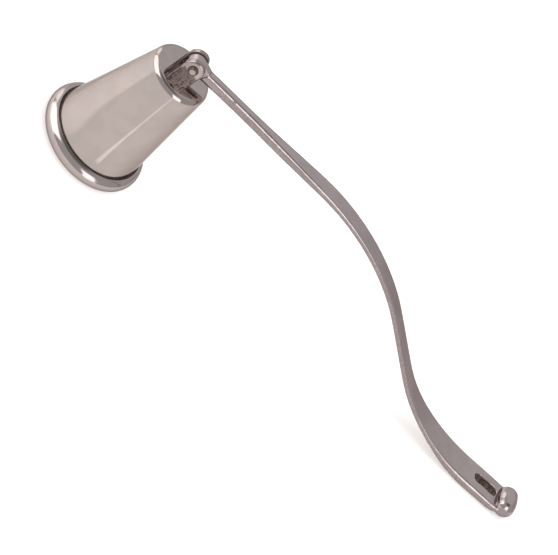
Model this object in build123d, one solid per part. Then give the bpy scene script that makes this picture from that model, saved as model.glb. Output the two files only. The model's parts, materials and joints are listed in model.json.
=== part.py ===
from build123d import *

import os
from math import asin, atan, atan2, cos, degrees, hypot, pi, radians, sin, sqrt

# A candle snuffer: a bell on a hinge at the end of a long curved handle.
# Lengths are in millimetres and angles in degrees.
# The bell stands mouth down on the table, with its axis on Z and the centre of its mouth at the origin.
# The handle lies along +X, swings in the XZ plane and rests with its end on the table.

# Bell shell, a thin cone closed by a flat crown
bell_height = 46.5
crown_radius = 10.7  # where the slope of the wall would meet the crown
crown_edge_round = 2.0
wall_foot_radius = 16.3  # outside of the straight foot that goes into the ring
wall_thickness = 1.2

# Mouth ring, a fat round bead that holds the foot of the shell
ring_radius = 19.0
bead_radius = 3.05
ring_land_depth = 0.15  # cut off the underside, so that the bell stands flat
ring_bore_round = 0.4  # inner edge of the underside
ring_ledge_height = 1.2  # where the foot of the shell stands inside the ring
seam_width = 0.45  # open groove between the bead's rim and the wall
seam_depth = 0.6
seat_clearance = 0.02

# Clevis, a block with two round-topped ears
ear_radius = 3.5
pin_rise = 5.9  # from the crown to the hinge
clevis_depth = 7.0  # over both ears
slot_width = 3.2
slot_floor_rise = 2.2  # from the crown to the floor of the slot
ear_edge_round = 0.6
ear_inner_round = 0.25

# Clevis screw, driven up through the crown, and the washer under its head
screw_radius = 1.25
screw_clearance = 0.15
thread_clearance = 0.02
screw_reach = 2.0  # from the crown into the clevis
screw_head_radius = 2.3
screw_head_height = 1.5
screw_head_round = 0.6
screw_slot_width = 0.6
screw_slot_depth = 0.7
washer_radius = 3.2
washer_thickness = 0.5

# Hinge pin, held by the ears and closed by a low head at both ends
pin_radius = 1.0
pin_running_clearance = 0.05
pin_head_radius = 1.6
pin_head_height = 0.8
pin_head_round = 0.35

# Tongue of the handle, between the ears
tongue_side_clearance = 0.1
tongue_eye_radius = 3.0
tongue_edge_round = 0.25
tongue_inset = 0.3  # from the strap's top and underside at the shoulder
tongue_root = 1.5  # how far the tongue runs on inside the strap
shoulder_reach = 4.1  # from the hinge to the foot of the strap's end face
shoulder_slant = 16.0  # lean of that face, away from the hinge

# Crest of the strap, the middle line of its top, from the hinge to the end knob
crest_rise = 1.5  # above the hinge
neck_run = 55.5
upper_bend_radius = 95.0
upper_bend_turn = 35.5
middle_run = 22.0
lower_bend_radius = 69.0
lower_bend_turn = 38.5
tip_run = 16.5

# Widths and thicknesses of the strap, and where along the crest it has them
root_width = 3.6
waist_width = 6.6
paddle_width = 11.2
end_width = 10.2
root_thickness = 4.0
neck_thickness = 3.6
strip_thickness = 1.9
paddle_thickness = 3.3
end_thickness = 1.2
neck_width_share = 0.1
waist_width_shares = (0.34, 0.66)
paddle_width_shares = (0.93, 0.96)
neck_thickness_share = 0.14
strip_thickness_shares = (0.38, 0.8)
paddle_thickness_shares = (0.915, 0.965)
strap_edge_share = 0.32  # rounding of the strap's edges, of its thickness
station_count = 24

# Knob at the end of the handle, a short crowned roll that lies across the strap
knob_radius = 3.7
knob_length = 10.7
knob_crown = 0.9
knob_end_round = 2.6

# Hang hole, a long hole with round ends
hang_hole_radius = 1.75
hang_hole_length = 9.8
hang_hole_setback = 4.5  # from the middle of the knob to the near end of the hole
hang_hole_bevel = 0.3  # round its upper rim
bevel_angle = 45.0

cut_overrun = 1.0  # how far a cut runs past what it cuts

# Sizes that follow
ceiling_height = bell_height - wall_thickness
pin_height = bell_height + pin_rise
slot_floor_height = bell_height + slot_floor_rise
seat_radius = wall_foot_radius + seat_clearance
bead = Vector(ring_radius - bead_radius, bead_radius - ring_land_depth)
rim_radius = seat_radius + seam_width
rim_height = bead.Y + sqrt(bead_radius**2 - (rim_radius - bead.X) ** 2)
wall_break_height = rim_height - seam_depth
mouth_radius = wall_foot_radius - wall_thickness
tongue_width = slot_width - 2 * tongue_side_clearance


def turned(section):
    """Solid that a section, drawn as radius and height, makes about Z."""
    return revolve(Plane.XZ * section, Axis.Z)


def upper_rims(faces):
    """Outer edges of upright faces, apart from the foot of each."""
    rims = []
    for face in faces:
        edges = face.outer_wire().edges()
        rims += edges - edges.group_by(Axis.Z)[0]
    return rims


def bell_shell():
    """Cone and crown in one wall, with a straight foot and a hole for the screw."""
    slope = atan((wall_foot_radius - crown_radius) / (bell_height - wall_break_height))
    level_thickness = wall_thickness / cos(slope)
    inner_drop = (level_thickness - wall_thickness) * cos(slope) / sin(slope)
    outer_corner = (crown_radius, bell_height)
    inner_corner = (
        crown_radius + wall_thickness * sin(slope) / cos(slope) - level_thickness,
        ceiling_height,
    )
    hole_radius = screw_radius + screw_clearance
    section = make_face(
        Polyline(
            (wall_foot_radius, ring_ledge_height),
            (wall_foot_radius, wall_break_height),
            outer_corner,
            (hole_radius, bell_height),
            (hole_radius, ceiling_height),
            inner_corner,
            (mouth_radius, wall_break_height - inner_drop),
            (mouth_radius, ring_ledge_height),
            close=True,
        )
    )
    inner_round = max(crown_edge_round - wall_thickness, wall_thickness / 2)
    for corner, radius in ((outer_corner, crown_edge_round), (inner_corner, inner_round)):
        section = fillet(section.vertices().sort_by_distance(corner)[0], radius)
    return turned(section)


def mouth_ring():
    """Bead with a flat land below, an open seam above and a ledge for the shell."""
    inner_land = (mouth_radius, 0)
    outer_land = (bead.X + sqrt(bead_radius**2 - bead.Y**2), 0)
    rim = (rim_radius, rim_height)
    outline = (
        Line(inner_land, outer_land)
        + ThreePointArc(outer_land, (ring_radius, bead.Y), rim)
        + Polyline(
            rim,
            (seat_radius, wall_break_height),
            (seat_radius, ring_ledge_height),
            (mouth_radius, ring_ledge_height),
            inner_land,
        )
    )
    section = make_face(outline)
    bore_edge = section.vertices().sort_by_distance(inner_land)[0]
    return turned(fillet(bore_edge, ring_bore_round))


def clevis():
    """Block with round-topped ears, a slot for the tongue, the pin hole and the tapped hole."""
    side = Pos(0, bell_height) * Rectangle(2 * ear_radius, pin_rise, align=(Align.CENTER, Align.MIN))
    side += Pos(0, pin_height) * Circle(ear_radius)
    block = extrude(Plane.XZ * side, clevis_depth / 2, both=True)
    block = fillet(upper_rims(block.faces().filter_by(Axis.Y)), ear_edge_round)
    upward = (Align.CENTER, Align.CENTER, Align.MIN)
    slot_height = pin_rise + ear_radius + cut_overrun - slot_floor_rise
    slot = Box(2 * (ear_radius + cut_overrun), slot_width, slot_height, align=upward)
    block -= Pos(0, 0, slot_floor_height) * slot
    inner_faces = block.faces().filter_by(Axis.Y).sort_by(Axis.Y)[1:-1]
    block = fillet(upper_rims(inner_faces), ear_inner_round)
    pin_hole = Plane.XZ * Cylinder(pin_radius, clevis_depth + cut_overrun)
    tapped_hole = Cylinder(screw_radius + thread_clearance, slot_floor_rise + cut_overrun, align=upward)
    return block - Pos(0, 0, pin_height) * pin_hole - Pos(0, 0, bell_height) * tapped_hole


def clevis_screw():
    """Slotted pan-head screw, head down inside the bell."""
    seat = ceiling_height - washer_thickness
    upward = (Align.CENTER, Align.CENTER, Align.MIN)
    downward = (Align.CENTER, Align.CENTER, Align.MAX)
    head = Cylinder(screw_head_radius, screw_head_height, align=downward)
    head = fillet(head.edges().sort_by(Axis.Z)[0], screw_head_round)
    driver_slot = Box(2 * (screw_head_radius + cut_overrun), screw_slot_width, screw_slot_depth, align=upward)
    head -= Pos(0, 0, -screw_head_height) * driver_slot
    shank = Cylinder(screw_radius, bell_height + screw_reach - seat, align=upward)
    return Pos(0, 0, seat) * (head + shank)


def clevis_washer():
    """Flat washer between the screw head and the underside of the crown."""
    ring = Circle(washer_radius) - Circle(screw_radius + screw_clearance)
    return Pos(0, 0, ceiling_height) * extrude(ring, -washer_thickness)


def hinge_pin():
    """Shank through both ears, with a low round-edged head on each side."""
    pin = Plane.XZ * Cylinder(pin_radius, clevis_depth)
    for side in (-1, 1):
        head = Cylinder(pin_head_radius, pin_head_height, align=(Align.CENTER, Align.CENTER, Align.MIN))
        head = fillet(head.edges().sort_by(Axis.Z)[-1], pin_head_round)
        outward = Plane((0, side * clevis_depth / 2, 0), x_dir=(1, 0, 0), z_dir=(0, side, 0))
        pin += outward * head
    return Pos(0, 0, pin_height) * pin


# Legs of the crest in turn: the length of each and its bend, downward below zero
crest_legs = (
    (neck_run, 0),
    (upper_bend_radius * radians(upper_bend_turn), -upper_bend_turn),
    (middle_run, 0),
    (lower_bend_radius * radians(lower_bend_turn), lower_bend_turn),
    (tip_run, 0),
)
crest_length = sum(length for length, turn in crest_legs)


def crest_plane(distance):
    """Cross plane of the strap at a distance along the crest from the hinge: X across, Y up, Z onward."""
    place = Vector(0, 0, crest_rise)
    heading = 0
    for length, turn in crest_legs:
        step = min(distance, length)
        swing = radians(turn) * step / length
        chord = step * sin(swing / 2) / (swing / 2) if swing else step
        middle = heading + swing / 2
        place += Vector(cos(middle), 0, sin(middle)) * chord
        heading += swing
        distance -= step
    return Plane(place, x_dir=(0, 1, 0), z_dir=(cos(heading), 0, sin(heading)))


def eased(keys, share):
    """Value at a share of the crest, going smoothly from each key to the next."""
    for (start, low), (end, high) in zip(keys, keys[1:]):
        if share <= end:
            part = max(share - start, 0) / (end - start)
            return low + (high - low) * (1 - cos(pi * part)) / 2
    return keys[-1][1]


def strap():
    """Strap under its crest, from the shoulder to the middle of the knob."""
    widths = (
        (neck_width_share, root_width),
        (waist_width_shares[0], waist_width),
        (waist_width_shares[1], waist_width),
        (paddle_width_shares[0], paddle_width),
        (paddle_width_shares[1], paddle_width),
        (1, end_width),
    )
    thicknesses = (
        (0, root_thickness),
        (neck_thickness_share, neck_thickness),
        (strip_thickness_shares[0], strip_thickness),
        (strip_thickness_shares[1], strip_thickness),
        (paddle_thickness_shares[0], paddle_thickness),
        (paddle_thickness_shares[1], paddle_thickness),
        (1, end_thickness),
    )
    sections = []
    for station in range(station_count + 1):
        distance = shoulder_reach + (crest_length - shoulder_reach) * station / station_count
        share = distance / crest_length
        thickness = eased(thicknesses, share)
        outline = RectangleRounded(eased(widths, share), thickness, strap_edge_share * thickness)
        sections.append(crest_plane(distance) * Pos(0, -thickness / 2) * outline)
    depth = root_thickness + cut_overrun
    waste = Box(shoulder_reach, paddle_width, 2 * depth, align=(Align.MAX, Align.CENTER, Align.CENTER))
    foot = Pos(shoulder_reach, 0, crest_rise - root_thickness)
    return loft(sections) - foot * Rot(0, shoulder_slant, 0) * waste


def tongue():
    """Flat eye on the hinge that runs on into the end of the strap."""
    top = crest_rise - tongue_inset
    bottom = crest_rise - root_thickness + tongue_inset
    end = shoulder_reach + tongue_root
    tail = Pos(shoulder_reach, bottom) * Rectangle(end - shoulder_reach, top - bottom, align=Align.MIN)
    outline = make_hull(Circle(tongue_eye_radius).edges() + tail.edges())
    plate = extrude(Plane.XZ * outline, tongue_width / 2, both=True)
    return fillet(plate.faces().filter_by(Axis.Y).edges(), tongue_edge_round)


def knob(end):
    """Crowned roll across the end of the strap, its axis on the crest."""
    half = knob_length / 2
    shoulder = knob_radius - knob_crown
    section = make_face(
        Polyline((-half, shoulder), (-half, 0), (half, 0), (half, shoulder))
        + ThreePointArc((half, shoulder), (0, knob_radius), (-half, shoulder))
    )
    corners = section.vertices().sort_by(Axis.Y)[-2:]
    section = fillet(corners, knob_end_round)
    return revolve(end * section, Axis(end.origin, end.x_dir))


def hang_hole(end):
    """Cut for the long hole, square to the strap just short of the knob."""
    along = Plane(end.origin, x_dir=end.z_dir, z_dir=end.y_dir)
    middle = along * Pos(-hang_hole_setback - hang_hole_length / 2, 0)
    outline = SlotOverall(hang_hole_length, 2 * hang_hole_radius)
    hole = extrude(outline, paddle_thickness + cut_overrun, both=True)
    rim = offset(outline, hang_hole_bevel)
    return middle * (hole + extrude(rim, -hang_hole_bevel, taper=bevel_angle))


def handle():
    """Strap, tongue and knob in one piece, turned down until the knob lies on the table."""
    end = crest_plane(crest_length)
    eye = Plane.XZ * Cylinder(pin_radius + pin_running_clearance, tongue_width + cut_overrun)
    piece = strap() + tongue() + knob(end) - eye - hang_hole(end)
    reach = hypot(end.origin.X, end.origin.Z)
    droop = asin((pin_height - knob_radius) / reach) + atan2(end.origin.Z, end.origin.X)
    return Pos(0, 0, pin_height) * piece.rotate(Axis.Y, degrees(droop))


nodes = {
    "bell_shell": bell_shell(),
    "mouth_ring": mouth_ring(),
    "clevis": clevis(),
    "clevis_screw": clevis_screw(),
    "clevis_washer": clevis_washer(),
    "hinge_pin": hinge_pin(),
    "handle": handle(),
}

os.makedirs("parts", exist_ok=True)
for name, shape in nodes.items():
    export_step(shape, f"parts/{name}.step")
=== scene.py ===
import json
from math import cos, radians, sin

import bpy
from mathutils import Matrix, Vector

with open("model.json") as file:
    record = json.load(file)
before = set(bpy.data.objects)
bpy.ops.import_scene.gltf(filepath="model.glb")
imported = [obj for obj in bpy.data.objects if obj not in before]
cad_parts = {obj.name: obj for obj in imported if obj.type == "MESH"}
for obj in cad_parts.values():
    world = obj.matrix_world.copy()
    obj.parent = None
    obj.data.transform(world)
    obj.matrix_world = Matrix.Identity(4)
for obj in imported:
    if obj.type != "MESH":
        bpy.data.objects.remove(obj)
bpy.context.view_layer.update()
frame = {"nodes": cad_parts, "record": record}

# A candle snuffer: a nickel-plated bell on a hinge at the end of a long curved handle.
# Lengths are in metres, angles in degrees and the power of lamps in watts.
MM = 0.001

# Where the camera stands: seen from the middle of the bell's mouth, and how far it is rolled
camera_distance = 1200 * MM
camera_azimuth = -23.40
camera_elevation = 38.34
camera_roll = 56.93
camera_aim_right = 59.817 * MM
camera_aim_up = -43.002 * MM
camera_lens = 245.75  # in millimetres, as the sensor is
camera_sensor = 36.0
camera_near = 0.1
camera_far = 20

# Places on the model that the tarnish, the painted shade and the satin follow
seam_height = 5.85 * MM  # rim of the ring, beside the groove that the shell goes into
seam_radius = 16.7 * MM  # just inside the outer wall of that groove
pin_height = 52.4 * MM
ear_inner = 1.6 * MM  # from the middle to the inside of each ear
pin_head_radius = 1.6 * MM
hole_middle = 177.5 * MM
hole_half_run = 3.15 * MM  # from its middle to the centre of each round end
hole_radius = 1.75 * MM
roll_start = 181.5 * MM  # where the strap starts to run into the roll at its end

# Where the tarnish, the painted shade and the satin fade in, each from nothing to full
seam_top = (seam_height + 0.20 * MM, seam_height - 0.05 * MM)
seam_bottom = (seam_height - 1.2 * MM, seam_height - 1.0 * MM)
seam_outside = (seam_radius + 0.08 * MM, seam_radius)
slot_sides = (ear_inner + 0.25 * MM, ear_inner + 0.05 * MM)
slot_bottom = (pin_height - 2 * MM, pin_height)
pin_head_outside = (pin_head_radius + 0.25 * MM, pin_head_radius)
pin_head_inside = (0.55 * pin_head_radius, 0.75 * pin_head_radius)
spots_top = (pin_height - 1.5 * MM, pin_height - 3 * MM)
hole_outside = (hole_radius + 0.2 * MM, hole_radius + 0.05 * MM)
flats_end = (roll_start + 1 * MM, roll_start)
facing_axis = (-1 * MM, -4 * MM)  # distance from the axis, times how squarely a face looks away from it

# The same by the share of a face's normal that points up, for the first, or sideways, for the others
facing_down = (-0.5, -0.9)
facing_sideways = (0.8, 0.95)
facing_level = (0.16, 0.06)

# Wear that all the plate shares. A span is where in its noise a pattern fades in.
middle_span = (0.3, 0.7)  # most of a noise lies in it
cloud_size = 7 * MM  # patches that the cloth left a little duller
cloud_span = (0.35, 0.65)
cloud_shade = 0.93
cloud_roughness = (0.85, 1.15)  # shares of the finish's own roughness
line_roughness = (-0.02, 0.02)  # what the grain adds
satin_roughness = 0.2  # what the satin adds

# Tarnish and painted shade, in one dark brown: it is patchy, and the hinge has spots of painted shade too
tarnish_and_shade_colour = "#4f3c32"
tarnish_and_shade_roughness = 0.55
tarnish_and_shade_cover = 0.9  # how much of the metal it hides
side_shade_share = 0.4  # of the painted shade on faces that look sideways
blotch_size = 0.7 * MM
blotch_span = (0.3, 0.6)
blotch_shares = (0.6, 1.0)
spot_size = 0.9 * MM
spot_span = (0.42, 0.62)
spot_share = 0.6


def linear(code):
    """Linear colour, with alpha, of an sRGB hex value."""
    shares = [int(code[i : i + 2], 16) / 255 for i in (1, 3, 5)]
    return [s / 12.92 if s <= 0.04045 else ((s + 0.055) / 1.055) ** 2.4 for s in shares] + [1.0]


def add(tree, kind, inputs=(), **settings):
    """New node in a tree. Its inputs are a dict of socket to value, or to the socket that feeds it."""
    node = tree.nodes.new(kind)
    for name, value in settings.items():
        setattr(node, name, value)
    for socket, value in dict(inputs).items():
        if isinstance(value, bpy.types.NodeSocket):
            tree.links.new(value, node.inputs[socket])
        else:
            node.inputs[socket].default_value = value
    return node


def calc(tree, operation, first, second=0.0):
    """Result of a sum on one or two numbers."""
    return add(tree, "ShaderNodeMath", {0: first, 1: second}, operation=operation).outputs["Value"]


def scaled(tree, vector, *shares):
    """Vector with each of its parts multiplied."""
    return add(tree, "ShaderNodeVectorMath", {0: vector, 1: shares}, operation="MULTIPLY").outputs["Vector"]


def length(tree, vector):
    """Length of a vector."""
    return add(tree, "ShaderNodeVectorMath", {0: vector}, operation="LENGTH").outputs["Value"]


def dot(tree, first, second):
    """Dot product of two vectors."""
    inputs = {0: first, 1: second}
    return add(tree, "ShaderNodeVectorMath", inputs, operation="DOT_PRODUCT").outputs["Value"]


def split(tree, vector):
    """X, Y and Z of a vector."""
    return add(tree, "ShaderNodeSeparateXYZ", {"Vector": vector}).outputs


def joined(tree, x, y, z):
    """Vector of three numbers."""
    return add(tree, "ShaderNodeCombineXYZ", {"X": x, "Y": y, "Z": z}).outputs["Vector"]


def ramp(tree, value, start, end, low=0.0, high=1.0):
    """Smooth step of a number: low up to the start and high from the end on."""
    limits = {"Value": value, "From Min": start, "From Max": end, "To Min": low, "To Max": high}
    return add(tree, "ShaderNodeMapRange", limits, interpolation_type="SMOOTHSTEP").outputs["Result"]


def noise(tree, vector, detail):
    """Noise from 0 to 1, with one cell to each unit of its vector."""
    return add(tree, "ShaderNodeTexNoise", {"Vector": vector, "Scale": 1.0, "Detail": detail}).outputs["Fac"]


def mixed(tree, share, first, second):
    """Colour between two colours. The sockets go by number, because several of them have the same name."""
    return add(tree, "ShaderNodeMix", {0: share, 6: first, 7: second}, data_type="RGBA").outputs[2]


def from_axis(tree, place):
    """Vector from the bell's axis to a place, at its own height."""
    return scaled(tree, place, 1, 1, 0)


def cells(tree, place, size):
    """Place counted in cells of one size, the same in every direction."""
    return scaled(tree, place, *[1 / size] * 3)


def sideways(tree, normal):
    """How much of a normal points to either side."""
    return calc(tree, "ABSOLUTE", split(tree, normal)["Y"])


def all_of(tree, first, *others):
    """Mask of where all the masks are."""
    for other in others:
        first = calc(tree, "MULTIPLY", first, other)
    return first


def any_of(tree, first, *others):
    """Mask of where any of the masks is."""
    for other in others:
        first = calc(tree, "MAXIMUM", first, other)
    return first


def new_material(name):
    """New material with an empty tree: the material, the tree and the socket that takes its surface."""
    material = bpy.data.materials.new(name)
    material.use_nodes = True
    material.node_tree.nodes.clear()
    output = add(material.node_tree, "ShaderNodeOutputMaterial")
    return material, material.node_tree, output.inputs["Surface"]


def round_grain(tree, place):
    """Grain that runs round the bell's axis, coarser than real so that it shows."""
    spacing = 0.5 * MM
    x, y, z = split(tree, place)
    return joined(
        tree,
        calc(tree, "MULTIPLY", length(tree, from_axis(tree, place)), 1 / spacing),
        calc(tree, "MULTIPLY", z, 1 / spacing),
        calc(tree, "ARCTAN2", y, x),
    )


def long_grain(tree, place):
    """Grain that runs along the handle, coarser than real so that it shows."""
    run, spacing, depth = 14 * MM, 0.4 * MM, 3 * MM
    return scaled(tree, place, 1 / run, 1 / spacing, 1 / depth)


def fine_grain(tree, place):
    """Grain with no direction, about as coarse as the skin of a casting."""
    size = 0.5 * MM
    return cells(tree, place, size)


def seam_tarnish_and_shade(tree, coordinates):
    """Tarnish and painted shade in the groove where the shell goes into the ring, on a little of the wall
    above it, and level with it inside the bell."""
    place = coordinates["Object"]
    height = split(tree, place)["Z"]
    return all_of(
        tree,
        ramp(tree, height, *seam_top),
        ramp(tree, height, *seam_bottom),
        ramp(tree, length(tree, from_axis(tree, place)), *seam_outside),
    )


def hinge_painted_shade(tree, coordinates):
    """Painted shade in the top of the slot between the ears and round each head of the pin, and spots of
    painted dark reflection low on the clevis.
    """
    place = coordinates["Object"]
    x, y, z = split(tree, place)
    across = ramp(tree, calc(tree, "ABSOLUTE", y), *slot_sides)
    slot = all_of(tree, across, ramp(tree, z, *slot_bottom))
    reach = length(tree, joined(tree, x, 0.0, calc(tree, "SUBTRACT", z, pin_height)))
    heads = all_of(tree, ramp(tree, reach, *pin_head_outside), ramp(tree, reach, *pin_head_inside))
    speckle = noise(tree, cells(tree, place, spot_size), detail=2.0)
    spots = all_of(tree, ramp(tree, speckle, *spot_span, 0.0, spot_share), ramp(tree, z, *spots_top))
    return any_of(tree, slot, heads, spots)


def handle_painted_shade(tree, coordinates):
    """Painted shade on the walls of the hang hole, and thin on faces that look sideways, such as the sides of
    the strap.
    """
    x, y, _ = split(tree, coordinates["Object"])
    along = calc(tree, "ABSOLUTE", calc(tree, "SUBTRACT", x, hole_middle))
    past = calc(tree, "MAXIMUM", calc(tree, "SUBTRACT", along, hole_half_run), 0.0)
    hole = ramp(tree, length(tree, joined(tree, past, y, 0.0)), *hole_outside)
    sides = ramp(tree, sideways(tree, coordinates["Normal"]), *facing_sideways, 0.0, side_shade_share)
    return any_of(tree, hole, sides)


def inside(tree, coordinates):
    """Faces that look at the bell's axis or down at the table."""
    normal = coordinates["Normal"]
    outward = dot(tree, from_axis(tree, coordinates["Object"]), normal)
    down = ramp(tree, split(tree, normal)["Z"], *facing_down)
    return any_of(tree, ramp(tree, outward, *facing_axis), down)


def flats(tree, coordinates):
    """Top and underside of the strap, up to its rounded edges and the roll at its end."""
    along = split(tree, coordinates["Object"])["X"]
    level = ramp(tree, sideways(tree, coordinates["Normal"]), *facing_level)
    return all_of(tree, level, ramp(tree, along, *flats_end))


def plated(name, colour, edge, roughness, grain, relief, tarnish_and_shade=None, satin=None):
    """Buffed plate: a mirror that the cloth has clouded, over the grain of how the metal was made. Edge is
    its tint at a slant, and relief is how deep that grain is left. Tarnish and shade is dark brown and matt:
    tarnish where no cloth reaches, and painted shade in hollows, gaps and on sides; satin is where the
    buffing stopped early."""
    material, tree, surface = new_material(name)
    coordinates = add(tree, "ShaderNodeTexCoord").outputs
    place = coordinates["Object"]
    clouds = noise(tree, cells(tree, place, cloud_size), detail=3.0)
    lines = noise(tree, grain(tree, place), detail=2.0)
    clear = linear(colour)
    base = mixed(tree, ramp(tree, clouds, *cloud_span), clear, [cloud_shade * v for v in clear])
    cloudy = ramp(tree, clouds, *middle_span, *[share * roughness for share in cloud_roughness])
    rough = calc(tree, "ADD", cloudy, ramp(tree, lines, *middle_span, *line_roughness))
    metal = 1.0
    if satin:
        rough = calc(tree, "ADD", rough, calc(tree, "MULTIPLY", satin(tree, coordinates), satin_roughness))
    # Dark brown: tarnish and painted shade in the seam, painted shade in the hinge, the hang hole and on the
    # strap's sides
    if tarnish_and_shade:
        blotches = noise(tree, cells(tree, place, blotch_size), detail=3.0)
        dark = all_of(tree, tarnish_and_shade(tree, coordinates), ramp(tree, blotches, *blotch_span, *blotch_shares))
        base = mixed(tree, dark, base, linear(tarnish_and_shade_colour))
        rough = calc(tree, "MAXIMUM", rough, calc(tree, "MULTIPLY", dark, tarnish_and_shade_roughness))
        metal = calc(tree, "SUBTRACT", 1.0, calc(tree, "MULTIPLY", dark, tarnish_and_shade_cover))
    bump = add(tree, "ShaderNodeBump", {"Strength": 1.0, "Distance": relief, "Height": lines})
    shader = add(
        tree,
        "ShaderNodeBsdfPrincipled",
        {
            "Base Color": base,
            "Metallic": metal,
            "Roughness": rough,
            "Specular Tint": linear(edge),
            "Normal": bump.outputs["Normal"],
        },
    )
    tree.links.new(shader.outputs["BSDF"], surface)
    return material


def white_paper():
    """White paper off a roll: matt, with hardly any shine of its own."""
    material, tree, surface = new_material("white_paper_roll")
    shader = add(
        tree,
        "ShaderNodeBsdfPrincipled",
        {"Base Color": linear("#f4f3f1"), "Roughness": 0.9, "Specular IOR Level": 0.1},
    )
    tree.links.new(shader.outputs["BSDF"], surface)
    return material


finishes = {
    # Spun, then buffed: the clearest mirror of them all, warm grey with faint rings, and satin inside
    "shell_metal": plated(
        "nickel_plate_spun_and_buffed",
        colour="#aca19d",
        edge="#c5c0be",
        roughness=0.10,
        grain=round_grain,
        relief=0.0008 * MM,
        tarnish_and_shade=seam_tarnish_and_shade,
        satin=inside,
    ),
    # Turned, then buffed: the same rings in a slightly softer mirror, with dark brown tarnish and painted
    # shade in the groove
    "ring_metal": plated(
        "nickel_plate_turned_and_buffed",
        colour="#b0a5a3",
        edge="#a8a3a1",
        roughness=0.13,
        grain=round_grain,
        relief=0.0008 * MM,
        tarnish_and_shade=seam_tarnish_and_shade,
    ),
    # Cast, then buffed: a skin that isn't quite even, so that its reflections waver, with dark brown spots of
    # painted shade
    "hinge_metal": plated(
        "nickel_plate_cast_and_buffed",
        # Darker than the rest of the plate: painted shade over the whole hinge
        colour="#9a8f8d",
        edge="#a8a3a1",
        roughness=0.13,
        grain=fine_grain,
        relief=0.012 * MM,
        tarnish_and_shade=hinge_painted_shade,
    ),
    # Cast, then satined along its length: soft broad reflections on the flats, sharp ones on the edges
    "handle_metal": plated(
        "nickel_plate_cast_and_satined",
        colour="#b0a4a4",
        edge="#a39e9c",
        roughness=0.11,
        grain=long_grain,
        relief=0.001 * MM,
        tarnish_and_shade=handle_painted_shade,
        satin=flats,
    ),
    # Zinc on steel: a paler and cooler grey than the nickel, with blurred reflections
    "fastener_steel": plated(
        "zinc_plated_steel",
        colour="#bcbcbe",
        edge="#d0d0d0",
        roughness=0.25,
        grain=fine_grain,
        relief=0.005 * MM,
    ),
}
for row in frame["record"]["subparts"]:
    frame["nodes"][row["node"]].material_slots[0].material = finishes[row["material_slot"]]


def paper_floor():
    """Wide sheet of paper that the object stands on."""
    half = 3.0
    mesh = bpy.data.meshes.new("floor")
    corners = [(-half, -half, 0), (half, -half, 0), (half, half, 0), (-half, half, 0)]
    mesh.from_pydata(corners, [], [(0, 1, 2, 3)])
    mesh.materials.append(white_paper())
    floor = bpy.data.objects.new("floor", mesh)
    bpy.context.collection.objects.link(floor)


paper_floor()

# Camera
azimuth, elevation, roll = (radians(x) for x in (camera_azimuth, camera_elevation, camera_roll))
toward = Vector((sin(azimuth) * cos(elevation), -cos(azimuth) * cos(elevation), sin(elevation)))
level = Vector((cos(azimuth), sin(azimuth), 0))
rise = toward.cross(level)
right = cos(roll) * level + sin(roll) * rise
up = cos(roll) * rise - sin(roll) * level
eye = camera_distance * toward + camera_aim_right * right + camera_aim_up * up

camera_data = bpy.data.cameras.new("camera")
camera_data.lens = camera_lens
camera_data.sensor_width = camera_sensor
camera_data.clip_start = camera_near
camera_data.clip_end = camera_far
camera = bpy.data.objects.new("camera", camera_data)
camera.matrix_world = Matrix.Translation(eye) @ Matrix((right, up, toward)).transposed().to_4x4()
bpy.context.collection.objects.link(camera)
bpy.context.scene.camera = camera

# What the lamps face
under_handle = Vector((60 * MM, 0, 20 * MM))
over_strip = Vector((30 * MM, -76 * MM, 101.5 * MM))
floor_front = Vector((20 * MM, -40 * MM, 0))
floor_right = Vector((150 * MM, -20 * MM, 0))
floor_left = Vector((-85 * MM, 48 * MM, 0))


def softbox(name, at, size, power, aim=under_handle, spread=180):
    """Rectangular lamp that faces its aim. It is at an azimuth, counted from +X towards +Y, an elevation and
    a distance from there. Size is its width and height, and spread is the angle that its light fills."""
    azimuth, elevation, distance = at
    data = bpy.data.lights.new(name, "AREA")
    data.shape = "RECTANGLE"
    data.size, data.size_y = size
    data.energy = power
    data.spread = radians(spread)
    lamp = bpy.data.objects.new(name, data)
    turn, lift = radians(azimuth), radians(elevation)
    back = Vector((cos(turn) * cos(lift), sin(turn) * cos(lift), sin(lift)))
    lamp.location = aim + distance * back
    lamp.rotation_mode = "QUATERNION"
    lamp.rotation_quaternion = back.to_track_quat("Z", "Y")
    bpy.context.collection.objects.link(lamp)
    return lamp


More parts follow.
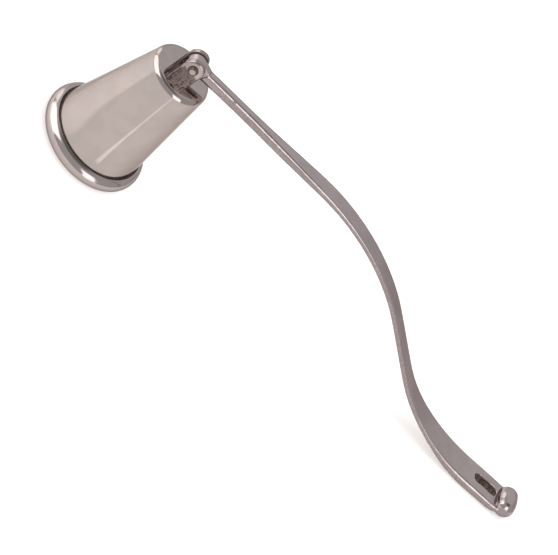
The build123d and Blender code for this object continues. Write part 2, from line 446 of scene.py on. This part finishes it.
# Lamps that the metal mirrors and that don't light matt surfaces. The strip lies just above the paper,
# face up, and shows as a thin line down the bell.
for lamp in (
    softbox("left_softbox", at=(175, 24, 0.5), size=(0.52, 0.54), power=1.9),
    softbox("back_left_softbox", at=(130, 16, 0.6), size=(0.22, 0.34), power=0.3),
    softbox("front_softbox", at=(298, 22, 0.5), size=(0.24, 0.48), power=0.8),
    softbox("front_strip", at=(294, -89, 0.1), size=(0.005, 0.1), power=0.0009, aim=over_strip),
):
    lamp.visible_diffuse = False
    lamp.visible_camera = False

# Lamps over the paper that the metal doesn't mirror. They throw no shadows.
for lamp in (
    softbox("floor_lamp", at=(120, 86, 0.7), size=(0.7, 0.7), power=4.0, aim=floor_front),
    softbox("right_floor_lamp", at=(0, 89, 0.4), size=(0.3, 0.3), power=0.35, aim=floor_right),
    softbox("left_floor_lamp", at=(90, 89, 0.15), size=(0.12, 0.15), power=0.021, aim=floor_left, spread=5),
):
    lamp.visible_glossy = False
    lamp.visible_camera = False
    lamp.data.use_shadow = False


def studio():
    """Room round the lamps: pale grey walls, brighter at the back, under a dark ceiling."""
    back_azimuth = radians(85)
    back_ends = (radians(35), radians(50))  # from the middle of the back wall, on both sides
    back_strength, wall_strength = 0.82, 0.64
    ceiling_start = (0.89, 0.97)  # upward share of the direction
    ceiling_share = 0.35
    world = bpy.data.worlds.new("studio")
    world.use_nodes = True
    tree = world.node_tree
    tree.nodes.clear()
    x, y, z = split(tree, add(tree, "ShaderNodeTexCoord").outputs["Generated"])
    turn = calc(tree, "ABSOLUTE", calc(tree, "SUBTRACT", calc(tree, "ARCTAN2", y, x), back_azimuth))
    wall = ramp(tree, turn, *back_ends, back_strength, wall_strength)
    strength = calc(tree, "MULTIPLY", wall, ramp(tree, z, *ceiling_start, 1.0, ceiling_share))
    background = add(tree, "ShaderNodeBackground", {"Color": linear("#ffffff"), "Strength": strength})
    add(tree, "ShaderNodeOutputWorld", {"Surface": background.outputs["Background"]})
    return world


bpy.context.scene.world = studio()
bpy.context.scene.view_settings.view_transform = "Standard"
